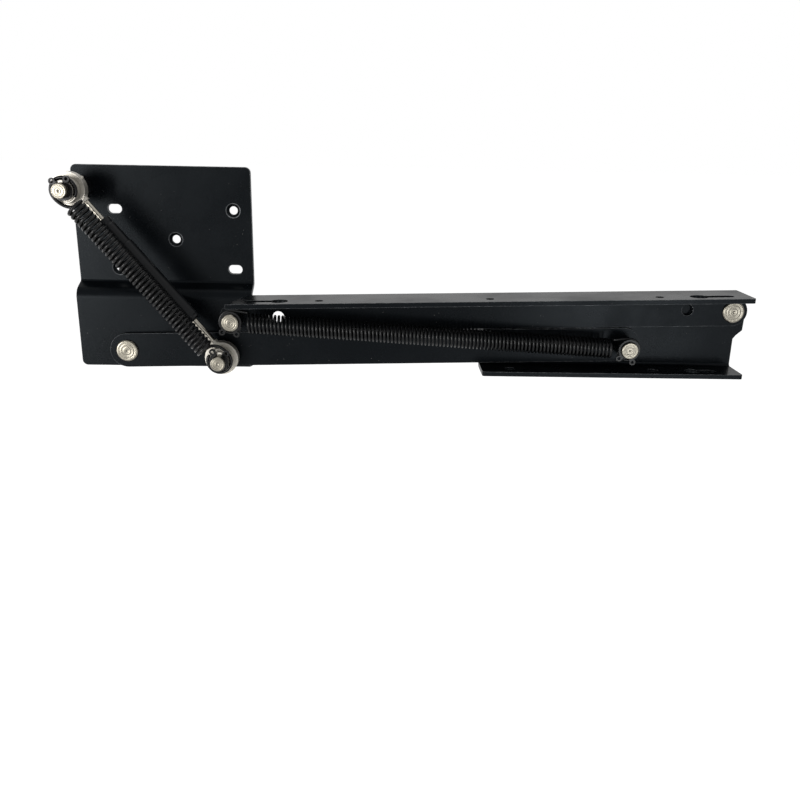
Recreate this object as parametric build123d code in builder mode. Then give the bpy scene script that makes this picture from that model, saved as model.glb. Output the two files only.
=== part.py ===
from build123d import *
import os
from math import atan2, cos, degrees, hypot, pi, radians, sin, sqrt

# Folding stool hinge: a plate that screws to a cabinet panel, two parallel arms that carry
# the seat and the leg, a damper and two tension springs.
# X runs along the folded arms, Z is up, and Y points into the panel. A depth is a distance
# in front of the panel, towards -Y. The origin is the middle of the plate's screw pattern.
# All sizes are in millimetres.

# Sheet metal
sheet = 2.5
bend_radius = 1.5
corner_radius = 3.0
flange_corner_radius = 1.5

# Mounting plate
plate_left = 54.0
plate_right = 42.0
plate_top = 39.0
plate_bottom = 69.5
step_depth = 9.5
step_top = 25.0
step_height = 4.0
screw_spacing_x = 64.0
screw_spacing_z = 32.0
screw_hole_radius = 2.2
countersink_radius = 3.8
countersink_angle = 90.0
plate_slot_length = 7.6
plate_slot_width = 4.8

# Linkage
bar_pivot_x = -27.5
bar_pivot_z = -60.0
pivot_offset_x = 60.0
pivot_offset_z = 19.5
arm_length = 277.0
stored_rise = 1.5
bar_width = 19.0
arm_end_radius = 8.0
arm_drop = 7.95
arm_height = 12.5
washer_thickness = 0.5

# Seat flange on the arm
seat_flange_depth = 42.3
seat_flange_start = 9.8
seat_flange_slant = 9.4
seat_hole_pitch = 90.0
seat_hole_radius = 2.25
seat_hole_depth = 34.5
keyhole_spacing = 222.0
keyhole_radius = 4.7
keyhole_slot_width = 5.0
keyhole_slot_reach = 14.0
web_hole_radius = 3.2
web_hole_near = 24.2
web_hole_far = 25.7
web_hole_far_rise = 1.4

# Leg bracket, from its pivot
leg_back = 140.4
leg_ahead = 3.3
leg_flange_depth = 31.9
leg_flange_drop = 12.25
leg_shoulder_drop = 16.0
leg_head_radius = 8.3
leg_cheek_run = 5.0
leg_cheek_drop = 12.0
leg_brow_run = 18.0
leg_brow_drop = 3.0
leg_nose_reach = 4.7
leg_nose_drop = 11.0
leg_chin_reach = 1.4
leg_chin_rise = 2.0
leg_hole_spacing = 80.0
leg_hole_back = 124.4
leg_hole_radius = 2.75
leg_keyhole_back = 22.4
leg_keyhole_radius = 4.0
leg_keyhole_slot_width = 4.4
leg_keyhole_reach = 13.0
leg_hole_depth = 24.5

# Rivets and pins
rivet_radius = 4.0
rivet_head_radius = 6.0
rivet_head_height = 1.3
tail_radius = 6.4
tail_height = 2.0
washer_radius = 8.0
spring_pin_radius = 4.7
spring_pin_tip = 30.2
damper_pin_radius = 4.0
damper_pin_tip = 36.4
pin_chamfer = 0.5
running_gap = 0.05
face_gap = 0.1

# Circlips
clip_thickness = 1.0
clip_bite = 0.5
clip_width = 1.7
clip_gap = 34.0
lug_reach = 1.2
lug_radius = 1.7
lug_hole_radius = 0.8
arm_clip_turn = -97.0
bracket_clip_turn = -105.0
anchor_clip_turn = 100.0
drive_clip_turn = 85.0

# Damper
damper_anchor_x = -48.7
damper_anchor_z = 27.0
damper_drive_along = 53.5
damper_drive_across = -3.0
damper_depth = 21.2
damper_side_step = 2.3
eye_radius = 9.0
eye_width = 5.0
eye_neck_radius = 2.3
eye_neck_length = 0.8
collar_radius = 6.2
rod_radius = 1.4
rod_inside = 57.0
piston_radius = 1.8
piston_length = 5.0
gland_radius = 3.7
gland_bore = 3.2
gland_top = 94.0
gland_seat = 78.0
tube_radius = 4.25
tube_bore = 3.6
tube_foot = 25.0
tube_cap = 4.0
base_rod_radius = 1.7
drum_radius = 6.8
drum_length = 4.7
spigot_radius = 5.2
spigot_length = 2.2

# Short spring, between the damper pins
short_wire = 1.8
short_coil_radius = 4.45
short_turns = 38
short_loop_radius = 6.35
short_lead = 9.6

# Long spring, from the arm pivot to the bracket pin
long_wire = 1.4
long_coil_radius = 4.9
long_turns = 60
long_loop_radius = 6.0
long_lead = 9.5
long_depth = 26.7
sleeve_radius = 5.2
spacer_radius = 5.4
loop_sweep = 250.0


def facing(depth, at=(0.0, 0.0), turn=0.0):
    """Plane across the depth: local x along the turned row, local y up, pulling to the front."""
    angle = radians(turn)
    return Plane(origin=(at[0], -depth, at[1]), x_dir=(cos(angle), 0, sin(angle)), z_dir=(0, -1, 0))


def along_bar(start, along, across):
    """Place in the X-Z plane, measured from a pivot along and across a stored arm."""
    rise = radians(stored_rise)
    return (
        start[0] + along * cos(rise) - across * sin(rise),
        start[1] + along * sin(rise) + across * cos(rise),
    )


def turned(tip, angle):
    """Place of a point of the lower bar after the linkage has swung down by an angle."""
    swing = -radians(angle)
    x, z = tip[0] - bar_pivot[0], tip[1] - bar_pivot[1]
    return (bar_pivot[0] + x * cos(swing) - z * sin(swing), bar_pivot[1] + x * sin(swing) + z * cos(swing))


def heading(start, end):
    """Angle of the line from one place to another, in degrees above +X."""
    return degrees(atan2(end[1] - start[1], end[0] - start[0]))


def post(radius, back, front, at, mode=Mode.ADD):
    """Round stretch of the open part, between two depths."""
    with BuildSketch(facing(back, at)) as profile:
        Circle(radius)
    extrude(profile.sketch, amount=front - back, mode=mode)


def save(part, name):
    """Label a finished piece and write it."""
    part.label = name
    export_step(part, f"parts/{name}.step")


# Layers, as depths in front of the panel
inner_back = step_depth
inner_front = inner_back + sheet
outer_back = inner_front + washer_thickness
outer_front = outer_back + sheet

# Pivots, as (X, Z)
bar_pivot = (bar_pivot_x, bar_pivot_z)
arm_pivot = (bar_pivot_x + pivot_offset_x, bar_pivot_z + pivot_offset_z)
bracket_pin = along_bar(bar_pivot, arm_length, 0)
leg_pivot = along_bar(arm_pivot, arm_length, 0)
damper_anchor = (damper_anchor_x, damper_anchor_z)
damper_drive = along_bar(bar_pivot, damper_drive_along, damper_drive_across)

# The stack on the damper pins, from the eye outwards
eye_back = damper_depth - eye_width / 2
eye_front = damper_depth + eye_width / 2
drum_back = eye_front + face_gap
drum_front = drum_back + drum_length
short_loop_depth = drum_front + short_wire / 2 + face_gap
spigot_front = drum_front + spigot_length
damper_clip_back = spigot_front + face_gap

# The stack on the spring pins
spacer_front = long_depth - long_wire / 2 - face_gap
sleeve_front = long_depth + long_wire / 2 + face_gap
spring_clip_back = sleeve_front + face_gap

os.makedirs("parts", exist_ok=True)


# Mounting plate: flat where it meets the panel, stepped forward behind the pivots
with BuildPart() as mounting_plate:
    with BuildSketch(Plane(origin=(-plate_left, 0, 0), x_dir=(0, -1, 0), z_dir=(-1, 0, 0))):
        with BuildLine():
            FilletPolyline(
                (0, plate_top),
                (0, -step_top),
                (step_depth, -step_top - step_height),
                (step_depth, -plate_bottom),
                radius=bend_radius + sheet,
            )
            offset(amount=sheet, side=Side.LEFT)
        make_face()
    extrude(amount=-(plate_left + plate_right))
    fillet(mounting_plate.edges().filter_by(Axis.Y), radius=corner_radius)
    for side in (-1, 1):
        slot_place = (side * screw_spacing_x / 2, -side * screw_spacing_z / 2)
        with BuildSketch(facing(0, slot_place)):
            SlotOverall(plate_slot_length, plate_slot_width)
        extrude(amount=sheet, mode=Mode.SUBTRACT)
    for side in (-1, 0, 1):
        hole_place = (side * screw_spacing_x / 2, side * screw_spacing_z / 2)
        with Locations(facing(sheet, hole_place)):
            CounterSinkHole(screw_hole_radius, countersink_radius, sheet, countersink_angle)
    post(rivet_radius + running_gap, inner_back, inner_front, bar_pivot, Mode.SUBTRACT)
    post(spring_pin_radius + running_gap, inner_back, inner_front, arm_pivot, Mode.SUBTRACT)
    post(damper_pin_radius + running_gap, 0, sheet, damper_anchor, Mode.SUBTRACT)
save(mounting_plate.part, "mounting_plate")


# Lower bar: a flat link with round ends
with BuildPart() as lower_bar:
    bar_middle = along_bar(bar_pivot, arm_length / 2, 0)
    with BuildSketch(facing(outer_back, bar_middle, stored_rise)):
        SlotCenterToCenter(arm_length, bar_width)
    extrude(amount=sheet)
    post(rivet_radius + running_gap, outer_back, outer_front, bar_pivot, Mode.SUBTRACT)
    post(damper_pin_radius + running_gap, outer_back, outer_front, damper_drive, Mode.SUBTRACT)
    post(spring_pin_radius + running_gap, outer_back, outer_front, bracket_pin, Mode.SUBTRACT)
save(lower_bar.part, "lower_bar")


# Seat arm: an angle section, with a web on the pivots and a wide flange under the seat
arm_row = Vector(cos(radians(stored_rise)), 0, sin(radians(stored_rise)))
arm_up = Vector(-sin(radians(stored_rise)), 0, cos(radians(stored_rise)))
arm_foot = Vector(arm_pivot[0], 0, arm_pivot[1])
arm_tip = Vector(leg_pivot[0], 0, leg_pivot[1])
seat_middle = arm_foot + arm_row * (arm_length / 2)
seat_underside = arm_height - sheet

with BuildPart() as seat_arm:
    with BuildSketch(Plane(origin=arm_tip, x_dir=(0, -1, 0), z_dir=-arm_row)):
        with BuildLine():
            FilletPolyline(
                (outer_back, -arm_drop),
                (outer_back, arm_height),
                (seat_flange_depth, arm_height),
                radius=bend_radius + sheet,
            )
            offset(amount=sheet, side=Side.RIGHT)
        make_face()
    extrude(amount=arm_length)
    flange_corners = seat_arm.edges().filter_by(Axis((0, 0, 0), arm_up)).group_by(Axis.Y)[0]
    fillet(flange_corners.sort_by(Axis.X)[-1], radius=flange_corner_radius)
    with BuildSketch(Plane(origin=arm_foot + arm_up * arm_end_radius, x_dir=arm_row, z_dir=arm_up)):
        with BuildLine():
            slant_foot = seat_flange_start - seat_flange_slant
            Polyline(
                (-sheet, 0),
                (seat_flange_start, 0),
                (seat_flange_start, -outer_back),
                (slant_foot, -seat_flange_depth),
                (slant_foot, -seat_flange_depth - sheet),
                (-sheet, -seat_flange_depth - sheet),
                close=True,
            )
        make_face()
    extrude(amount=arm_height, mode=Mode.SUBTRACT)
    post(arm_end_radius, outer_back, outer_front, arm_pivot)
    post(arm_end_radius, outer_back, outer_front, leg_pivot)
    post(spring_pin_radius + running_gap, outer_back, outer_front, arm_pivot, Mode.SUBTRACT)
    post(rivet_radius + running_gap, outer_back, outer_front, leg_pivot, Mode.SUBTRACT)
    for hole_along, hole_rise in ((web_hole_near, 0), (arm_length - web_hole_far, web_hole_far_rise)):
        hole_place = along_bar(arm_pivot, hole_along, hole_rise)
        post(web_hole_radius, outer_back, outer_front, hole_place, Mode.SUBTRACT)
    with BuildSketch(Plane(origin=seat_middle + arm_up * seat_underside, x_dir=arm_row, z_dir=arm_up)):
        for side in (-1, 0, 1):
            with Locations((side * seat_hole_pitch, -seat_hole_depth)):
                Circle(seat_hole_radius)
        for side in (-1, 1):
            with Locations((side * keyhole_spacing / 2, -seat_hole_depth)):
                Circle(keyhole_radius)
            slot_reach = keyhole_slot_reach + keyhole_radius
            with Locations((side * (keyhole_spacing + slot_reach) / 2, -seat_hole_depth)):
                SlotOverall(slot_reach, keyhole_slot_width)
    extrude(amount=sheet, mode=Mode.SUBTRACT)
save(seat_arm.part, "seat_arm")


# Leg bracket: an angle section behind the arms, with its flange along the bottom
leg_left = leg_pivot[0] - leg_back
leg_right = leg_pivot[0] + leg_ahead
leg_flange_top = bracket_pin[1] - leg_flange_drop
leg_shoulder = leg_pivot[1] - leg_shoulder_drop
leg_top = leg_pivot[1] + leg_head_radius

with BuildPart() as leg_bracket:
    with BuildSketch(Plane(origin=(leg_left, 0, 0), x_dir=(0, -1, 0), z_dir=(-1, 0, 0))):
        with BuildLine():
            FilletPolyline(
                (inner_back, leg_shoulder),
                (inner_back, leg_flange_top - sheet),
                (leg_flange_depth, leg_flange_top - sheet),
                radius=bend_radius + sheet,
            )
            offset(amount=sheet, side=Side.LEFT)
        make_face()
    extrude(amount=-(leg_right - leg_left))
    flange_corners = leg_bracket.edges().filter_by(Axis.Z).group_by(Axis.Y)[0]
    fillet(flange_corners, radius=flange_corner_radius)
    with BuildSketch(facing(inner_back)):
        with BuildLine():
            Polyline(
                (leg_left, leg_shoulder),
                (leg_left + leg_cheek_run, leg_top - leg_cheek_drop),
                (leg_left + leg_brow_run, leg_top - leg_brow_drop),
                (leg_pivot[0], leg_top),
                (leg_pivot[0] + leg_head_radius, leg_pivot[1]),
                (leg_right + leg_nose_reach, leg_pivot[1] - leg_nose_drop),
                (leg_right + leg_chin_reach, leg_shoulder + leg_chin_rise),
                (leg_right, leg_shoulder),
                close=True,
            )
        make_face()
        with Locations(leg_pivot):
            Circle(leg_head_radius)
    extrude(amount=sheet)
    post(rivet_radius + running_gap, inner_back, inner_front, leg_pivot, Mode.SUBTRACT)
    post(spring_pin_radius + running_gap, inner_back, inner_front, bracket_pin, Mode.SUBTRACT)
    with BuildSketch(Plane.XY.offset(leg_flange_top - sheet)):
        for step in (0, leg_hole_spacing):
            with Locations((leg_pivot[0] - leg_hole_back + step, -leg_hole_depth)):
                Circle(leg_hole_radius)
        leg_keyhole_x = leg_pivot[0] - leg_keyhole_back
        with Locations((leg_keyhole_x, -leg_hole_depth)):
            Circle(leg_keyhole_radius)
        with Locations((leg_keyhole_x + leg_keyhole_reach / 2, -leg_hole_depth)):
            SlotOverall(leg_keyhole_reach, leg_keyhole_slot_width)
    extrude(amount=sheet, mode=Mode.SUBTRACT)
save(leg_bracket.part, "leg_bracket")


def rivet(name, at):
    """Solid rivet through the inner and outer layers, with a low turned head in front."""
    with BuildPart() as piece:
        post(tail_radius, inner_back - tail_height - face_gap, inner_back - face_gap, at)
        post(rivet_radius, inner_back - face_gap, outer_front, at)
        post(rivet_head_radius, outer_front, outer_front + rivet_head_height, at)
        chamfer(piece.edges().filter_by(GeomType.CIRCLE).group_by(Axis.Y)[0], length=pin_chamfer)
    save(piece.part, name)


def washer(name, at, bore, outer, back, front):
    """Flat ring between two depths."""
    with BuildPart() as piece:
        post(outer, back, front, at)
        post(bore + running_gap, back, front, at, Mode.SUBTRACT)
    save(piece.part, name)


def circlip(name, at, bore, back, turn):
    """Open spring clip with two holed lugs at its gap, which points along the turn angle."""
    ring_radius = bore - clip_bite + clip_width
    lug_angle = clip_gap / 2 + degrees(lug_radius / ring_radius)
    lug_centre = ring_radius + lug_reach
    with BuildPart() as piece:
        with BuildSketch(facing(back, at, turn)):
            Circle(ring_radius)
            with Locations((ring_radius, 0)):
                Rectangle(2 * ring_radius, 2 * ring_radius * sin(radians(clip_gap / 2)), mode=Mode.SUBTRACT)
            with PolarLocations(lug_centre, 2, start_angle=-lug_angle, angular_range=4 * lug_angle):
                Circle(lug_radius)
                Circle(lug_hole_radius, mode=Mode.SUBTRACT)
            Circle(bore - clip_bite, mode=Mode.SUBTRACT)
        extrude(amount=clip_thickness)
    save(piece.part, name)


def clip_groove(at, bore, back):
    """Groove for a circlip, cut in the open pin."""
    with BuildSketch(facing(back - face_gap, at)) as profile:
        Circle(bore + pin_chamfer)
        Circle(bore - clip_bite - running_gap, mode=Mode.SUBTRACT)
    extrude(profile.sketch, amount=clip_thickness + 2 * face_gap, mode=Mode.SUBTRACT)


def spring_pin(name, at):
    """Pivot pin through both layers, long enough in front for the long spring's loop."""
    with BuildPart() as piece:
        post(tail_radius, inner_back - tail_height - face_gap, inner_back - face_gap, at)
        post(spring_pin_radius, inner_back - face_gap, spring_pin_tip, at)
        chamfer(piece.edges().filter_by(GeomType.CIRCLE).group_by(Axis.Y)[0], length=pin_chamfer)
        clip_groove(at, spring_pin_radius, spring_clip_back)
    save(piece.part, name)


def damper_pin(name, at, seat_back, seat_front):
    """Pin riveted flush into one sheet, with a collar behind the damper eye."""
    with BuildPart() as piece:
        post(damper_pin_radius, seat_back, damper_pin_tip, at)
        chamfer(piece.edges().filter_by(GeomType.CIRCLE).group_by(Axis.Y)[0], length=pin_chamfer)
        post(collar_radius, seat_front, eye_back - face_gap, at)
        clip_groove(at, damper_pin_radius, damper_clip_back)
    save(piece.part, name)


def drum(name, at):
    """Turned spacer in front of the damper eye, with a spigot that carries the spring's loop."""
    with BuildPart() as piece:
        post(drum_radius, drum_back, drum_front, at)
        chamfer(piece.edges().filter_by(GeomType.CIRCLE), length=pin_chamfer)
        post(spigot_radius, drum_front, spigot_front, at)
        post(damper_pin_radius + running_gap, drum_back, spigot_front, at, Mode.SUBTRACT)
    save(piece.part, name)


# Rivets, pins and what sits on them
rivet("bar_pivot_rivet", bar_pivot)
rivet("leg_pivot_rivet", leg_pivot)
washer("bar_pivot_washer", bar_pivot, rivet_radius, washer_radius, inner_front, outer_back)
washer("leg_pivot_washer", leg_pivot, rivet_radius, arm_end_radius, inner_front, outer_back)
washer("arm_pivot_washer", arm_pivot, spring_pin_radius, arm_end_radius, inner_front, outer_back)
washer("bracket_pin_washer", bracket_pin, spring_pin_radius, washer_radius, inner_front, outer_back)
spring_pin("arm_pivot_pin", arm_pivot)
spring_pin("bracket_pin", bracket_pin)
spacer_back = outer_front + face_gap
washer("arm_pivot_spacer", arm_pivot, spring_pin_radius, spacer_radius, spacer_back, spacer_front)
washer("bracket_pin_spacer", bracket_pin, spring_pin_radius, spacer_radius, spacer_back, spacer_front)
sleeve_back = spacer_front + face_gap
washer("spring_rear_sleeve", arm_pivot, spring_pin_radius, sleeve_radius, sleeve_back, sleeve_front)
washer("spring_front_sleeve", bracket_pin, spring_pin_radius, sleeve_radius, sleeve_back, sleeve_front)
circlip("arm_pivot_circlip", arm_pivot, spring_pin_radius, spring_clip_back, arm_clip_turn)
circlip("bracket_pin_circlip", bracket_pin, spring_pin_radius, spring_clip_back, bracket_clip_turn)
damper_pin("damper_anchor_pin", damper_anchor, 0, sheet)
damper_pin("damper_drive_pin", damper_drive, outer_back, outer_front)
drum("damper_anchor_drum", damper_anchor)
drum("damper_drive_drum", damper_drive)
circlip("damper_anchor_circlip", damper_anchor, damper_pin_radius, damper_clip_back, anchor_clip_turn)
circlip("damper_drive_circlip", damper_drive, damper_pin_radius, damper_clip_back, drive_clip_turn)


# Damper: a rod and piston on the anchor pin, a tube on the drive pin. The shared line lies
# a little to one side of the pins. Its bores leave room for the small sideways run-out
# between the two halves while they swing.
damper_length = hypot(damper_drive[0] - damper_anchor[0], damper_drive[1] - damper_anchor[1])
damper_turn = heading(damper_anchor, damper_drive)


def damper_line(end):
    """Axis plane of the damper at a distance from the anchor pin, pulling towards the drive pin."""
    turn = radians(damper_turn)
    row = Vector(cos(turn), 0, sin(turn))
    side = Vector(-sin(turn), 0, cos(turn))
    pin = Vector(damper_anchor[0], -damper_depth, damper_anchor[1])
    return Plane(origin=pin + row * end + side * damper_side_step, x_dir=side, z_dir=row)


def eye(name, at, neck_end, toward):
    """Ring on a damper pin, with a neck that takes the rod."""
    with BuildPart() as piece:
        with BuildSketch(damper_line(neck_end)):
            Circle(eye_neck_radius)
        extrude(amount=toward * (eye_radius + eye_neck_length))
        post(eye_radius, eye_back, eye_front, at)
        post(damper_pin_radius + running_gap, eye_back, eye_front, at, Mode.SUBTRACT)
    save(piece.part, name)


def round_bar(name, radius, start, end, bore=0.0, bore_start=0.0, bore_end=0.0):
    """Round piece on the damper's axis, bored between two distances when a bore is given."""
    with BuildPart() as piece:
        with BuildSketch(damper_line(start)):
            Circle(radius)
        extrude(amount=end - start)
        if bore:
            with BuildSketch(damper_line(bore_start)):
                Circle(bore)
            extrude(amount=bore_end - bore_start, mode=Mode.SUBTRACT)
    save(piece.part, name)


rod_start = eye_radius + eye_neck_length
base_end = damper_length - eye_radius - eye_neck_length
gland_start = damper_length - gland_top
tube_start = damper_length - gland_seat
tube_end = damper_length - tube_foot
piston_end = rod_start + rod_inside + piston_length

eye("damper_rod_eye", damper_anchor, rod_start, -1)
eye("damper_base_eye", damper_drive, base_end, 1)
round_bar("damper_rod", rod_radius, rod_start, rod_start + rod_inside)
round_bar("damper_piston", piston_radius, rod_start + rod_inside, piston_end)
round_bar("damper_gland", gland_radius, gland_start, tube_start, gland_bore, gland_start, tube_start)
round_bar("damper_tube", tube_radius, tube_start, tube_end, tube_bore, tube_start, tube_end - tube_cap)
round_bar("damper_base_rod", base_rod_radius, tube_end, base_end)


def biarc(start, start_heading, end, end_heading):
    """Two arcs that leave one place and reach another along given headings, smooth between."""
    chord = end - start
    both = start_heading + end_heading
    square = both.dot(both) - 4
    linear = chord.dot(both)
    reach = (linear - sqrt(linear**2 - square * chord.dot(chord))) / square
    first = start + start_heading * reach
    second = end - end_heading * reach
    middle = (first + second) / 2
    TangentArc(start, middle, tangent=start_heading)
    TangentArc(middle, end, tangent=second - first)


def least_gap(edges, wire, turn_length):
    """Smallest clear distance between stretches of a wire that are half a turn or more apart."""
    points = []
    run = 0.0
    for edge in edges:
        pieces = 6
        for i in range(pieces):
            points.append((run + edge.length * i / pieces, edge.position_at(i / pieces)))
        run += edge.length
    gap = run
    for i, (here, place) in enumerate(points):
        for there, other in points[i + 1 :]:
            if there - here > turn_length / 2:
                gap = min(gap, (place - other).length - wire)
            if there - here > 3 * turn_length:
                break
    return gap


def spring(name, start, end, depth, wire, coil_radius, turns, loop_radius, lead, side_loops):
    """Tension spring in one wire, with a loop round each pin.

    Side loops lie level with the back of the coil, the other loops in the coil's middle plane.
    """
    span = hypot(end[0] - start[0], end[1] - start[1])
    pitch = (span - 2 * lead) / turns
    level = -coil_radius if side_loops else 0.0
    phase = -pi / 2 if side_loops else 0.0
    near_side = -1 if side_loops else 1
    frame = facing(depth, start, heading(start, end))

    def placed(along, across, ahead):
        return frame.from_local_coords(Vector(along, across, ahead))

    def aimed(along, across, ahead):
        return (placed(along, across, ahead) - frame.origin).normalized()

    def on_coil(turn):
        angle = phase + 2 * pi * turn
        across, ahead = coil_radius * cos(angle), coil_radius * sin(angle)
        return placed(lead + pitch * turn, across, ahead), aimed(pitch / (2 * pi), -ahead, across)

    def on_loop(middle, angle, side):
        angle = radians(angle)
        place = placed(middle + loop_radius * cos(angle), loop_radius * sin(angle), level)
        return place, aimed(side * sin(angle), -side * cos(angle), 0)

    near_start = near_side * (90 + loop_sweep)
    with BuildPart() as piece:
        with BuildLine() as path:
            tip, tip_row = on_loop(0, near_start, near_side)
            crown, crown_row = on_loop(0, near_side * 90, near_side)
            Line(tip - tip_row * wire, tip)
            ThreePointArc(tip, on_loop(0, near_start - near_side * loop_sweep / 2, near_side)[0], crown)
            biarc(crown, crown_row, *on_coil(0))
            for half_turn in range(2 * turns):
                biarc(*on_coil(half_turn / 2), *on_coil(half_turn / 2 + 0.5))
            crown, crown_row = on_loop(span, 90, 1)
            tip, tip_row = on_loop(span, 90 - loop_sweep, 1)
            biarc(*on_coil(turns), crown, crown_row)
            ThreePointArc(crown, on_loop(span, 90 - loop_sweep / 2, 1)[0], tip)
            Line(tip, tip + tip_row * wire)
        with BuildSketch(Plane(origin=path.wire() @ 0, z_dir=path.wire() % 0)):
            Circle(wire / 2)
        sweep()
    gap = least_gap(path.edges(), wire, 2 * pi * coil_radius)
    print(f"{name}: {turns} turns, pitch {pitch:.2f} mm, least gap {gap:.2f} mm")
    save(piece.part, name)


short_axis_depth = short_loop_depth + short_coil_radius
spring(
    "short_spring",
    damper_anchor,
    damper_drive,
    short_axis_depth,
    short_wire,
    short_coil_radius,
    short_turns,
    short_loop_radius,
    short_lead,
    True,
)
spring(
    "long_spring",
    arm_pivot,
    bracket_pin,
    long_depth,
    long_wire,
    long_coil_radius,
    long_turns,
    long_loop_radius,
    long_lead,
    False,
)

# Share of the arm's swing that the damper and the long spring turn by, from stored to open
open_angle = 90.0
damper_share = -(heading(damper_anchor, turned(damper_drive, open_angle)) - damper_turn) / open_angle
spring_turn = heading(arm_pivot, bracket_pin)
spring_share = (360 - (heading(arm_pivot, turned(bracket_pin, open_angle)) - spring_turn)) % 360 / open_angle
print(f"pivots: bar {bar_pivot}, arm {arm_pivot}, bracket {bracket_pin}, leg {leg_pivot}")
print(f"damper: drive {damper_drive}, length {damper_length:.2f} mm, share {damper_share:.6f}")
print(f"long spring: share {spring_share:.6f}")
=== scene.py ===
"""Folding stool hinge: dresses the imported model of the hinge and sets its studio."""

import logging
import math
from abc import ABC, abstractmethod
from dataclasses import dataclass, field
from enum import Enum
from typing import Sequence, Union

import bmesh
import bpy
import numpy as np
from mathutils import Matrix, Vector


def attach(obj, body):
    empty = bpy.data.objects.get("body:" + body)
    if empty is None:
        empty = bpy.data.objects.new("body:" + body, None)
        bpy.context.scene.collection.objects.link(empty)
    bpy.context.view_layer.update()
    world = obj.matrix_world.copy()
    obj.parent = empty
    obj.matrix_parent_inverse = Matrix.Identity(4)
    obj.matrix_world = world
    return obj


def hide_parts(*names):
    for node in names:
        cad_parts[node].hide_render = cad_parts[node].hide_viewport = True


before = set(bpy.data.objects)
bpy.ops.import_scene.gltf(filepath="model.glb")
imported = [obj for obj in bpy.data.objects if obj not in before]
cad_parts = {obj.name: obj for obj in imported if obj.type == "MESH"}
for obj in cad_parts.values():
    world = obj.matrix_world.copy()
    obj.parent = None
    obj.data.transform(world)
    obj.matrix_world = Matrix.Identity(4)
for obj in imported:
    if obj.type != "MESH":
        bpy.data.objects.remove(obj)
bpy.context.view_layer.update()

Profile = Sequence[tuple[float, float]]
Place = tuple[float, float]
Colour = tuple[float, float, float]
Given = Union[float, Sequence[float], bpy.types.NodeSocket]

log = logging.getLogger("stool_hinge")
SOCKET = "NodeSocketFloat"
MM = 0.001
RIM = "rim"
ON_AXIS = 1e-6


class Slot(Enum):
    """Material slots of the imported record."""

    POWDER = "black_powder_coat"
    PLATED = "plated_steel"
    ZINC = "cast_zinc"
    OXIDE = "black_oxide"
    DAMPER = "damper_black"
    LINER = "liner_plastic"


class LoopLevel(Enum):
    """Where a spring's end loops lie: in the coil's middle plane or level with its back."""

    MIDDLE = 0
    BACK = 1


class Half(Enum):
    """Which end of a spring a piece of coil belongs to."""

    NEAR = "near"
    FAR = "far"


@dataclass
class Wiring:
    """Short calls for adding and joining nodes in one node tree."""

    tree: bpy.types.NodeTree

    def add(self, kind: str, **settings: object) -> bpy.types.Node:
        """Add a node and set its plain settings.

        Args:
            kind: The node's type.
            settings: Attribute name to value.

        Returns:
            The new node.
        """
        node = self.tree.nodes.new(kind)
        for name, value in settings.items():
            setattr(node, name, value)
        return node

    def join(self, source: bpy.types.NodeSocket, target: bpy.types.NodeSocket) -> None:
        """Join an output to an input."""
        self.tree.links.new(source, target)

    def feed(self, node: bpy.types.Node, values: dict[Union[str, int], Given]) -> bpy.types.Node:
        """Give a node's inputs their numbers, or join them where the value is a socket.

        Args:
            node: The node to fill.
            values: Input name or index to a number, colour, vector or socket.

        Returns:
            The same node.
        """
        for key, value in values.items():
            if isinstance(value, bpy.types.NodeSocket):
                self.join(value, node.inputs[key])
            else:
                node.inputs[key].default_value = value
        return node

    def maths(self, operation: str, *values: Given, clamp: bool = False) -> bpy.types.NodeSocket:
        """Result of a math node on numbers or sockets."""
        node = self.add("ShaderNodeMath", operation=operation, use_clamp=clamp)
        return self.feed(node, dict(enumerate(values))).outputs[0]

    def vector(self, operation: str, *values: Given, out: str = "Vector") -> bpy.types.NodeSocket:
        """Result of a vector math node on vectors or sockets."""
        node = self.add("ShaderNodeVectorMath", operation=operation)
        return self.feed(node, dict(enumerate(values))).outputs[out]

    def span(self, value: Given, low: float, high: float, start: float = 0.0,
             end: float = 1.0) -> bpy.types.NodeSocket:
        """Smooth step of a value from one range to another.

        Args:
            value: The value that is read.
            low: Where the step begins.
            high: Where the step ends.
            start: The result below the step.
            end: The result above the step.

        Returns:
            The stepped value.
        """
        node = self.add("ShaderNodeMapRange", interpolation_type="SMOOTHSTEP")
        self.feed(node, {"Value": value, "From Min": low, "From Max": high,
                         "To Min": start, "To Max": end})
        return node.outputs["Result"]

    def here(self) -> bpy.types.NodeSocket:
        """The place on the piece, in its own frame."""
        return self.add("ShaderNodeTexCoord").outputs["Object"]

    def noise(self, place: bpy.types.NodeSocket, scale: Given, detail: float,
              rough: float) -> bpy.types.NodeSocket:
        """Noise at a place.

        Args:
            place: Where the noise is read.
            scale: How fine it is.
            detail: How many finer layers it has.
            rough: How strong the finer layers are.

        Returns:
            The noise, about 0.5 on average.
        """
        node = self.add("ShaderNodeTexNoise")
        self.feed(node, {"Vector": place, "Scale": scale, "Detail": detail, "Roughness": rough})
        return node.outputs["Fac"]

    def tint(self, amount: Given, first: Given, second: Given) -> bpy.types.NodeSocket:
        """Mix of two colours.

        Args:
            amount: Share of the second colour.
            first: Colour with its alpha, or a socket.
            second: Colour with its alpha, or a socket.

        Returns:
            The mixed colour.
        """
        node = self.add("ShaderNodeMix", data_type="RGBA")
        self.feed(node, {0: amount, 6: first, 7: second})
        return node.outputs[2]


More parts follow.
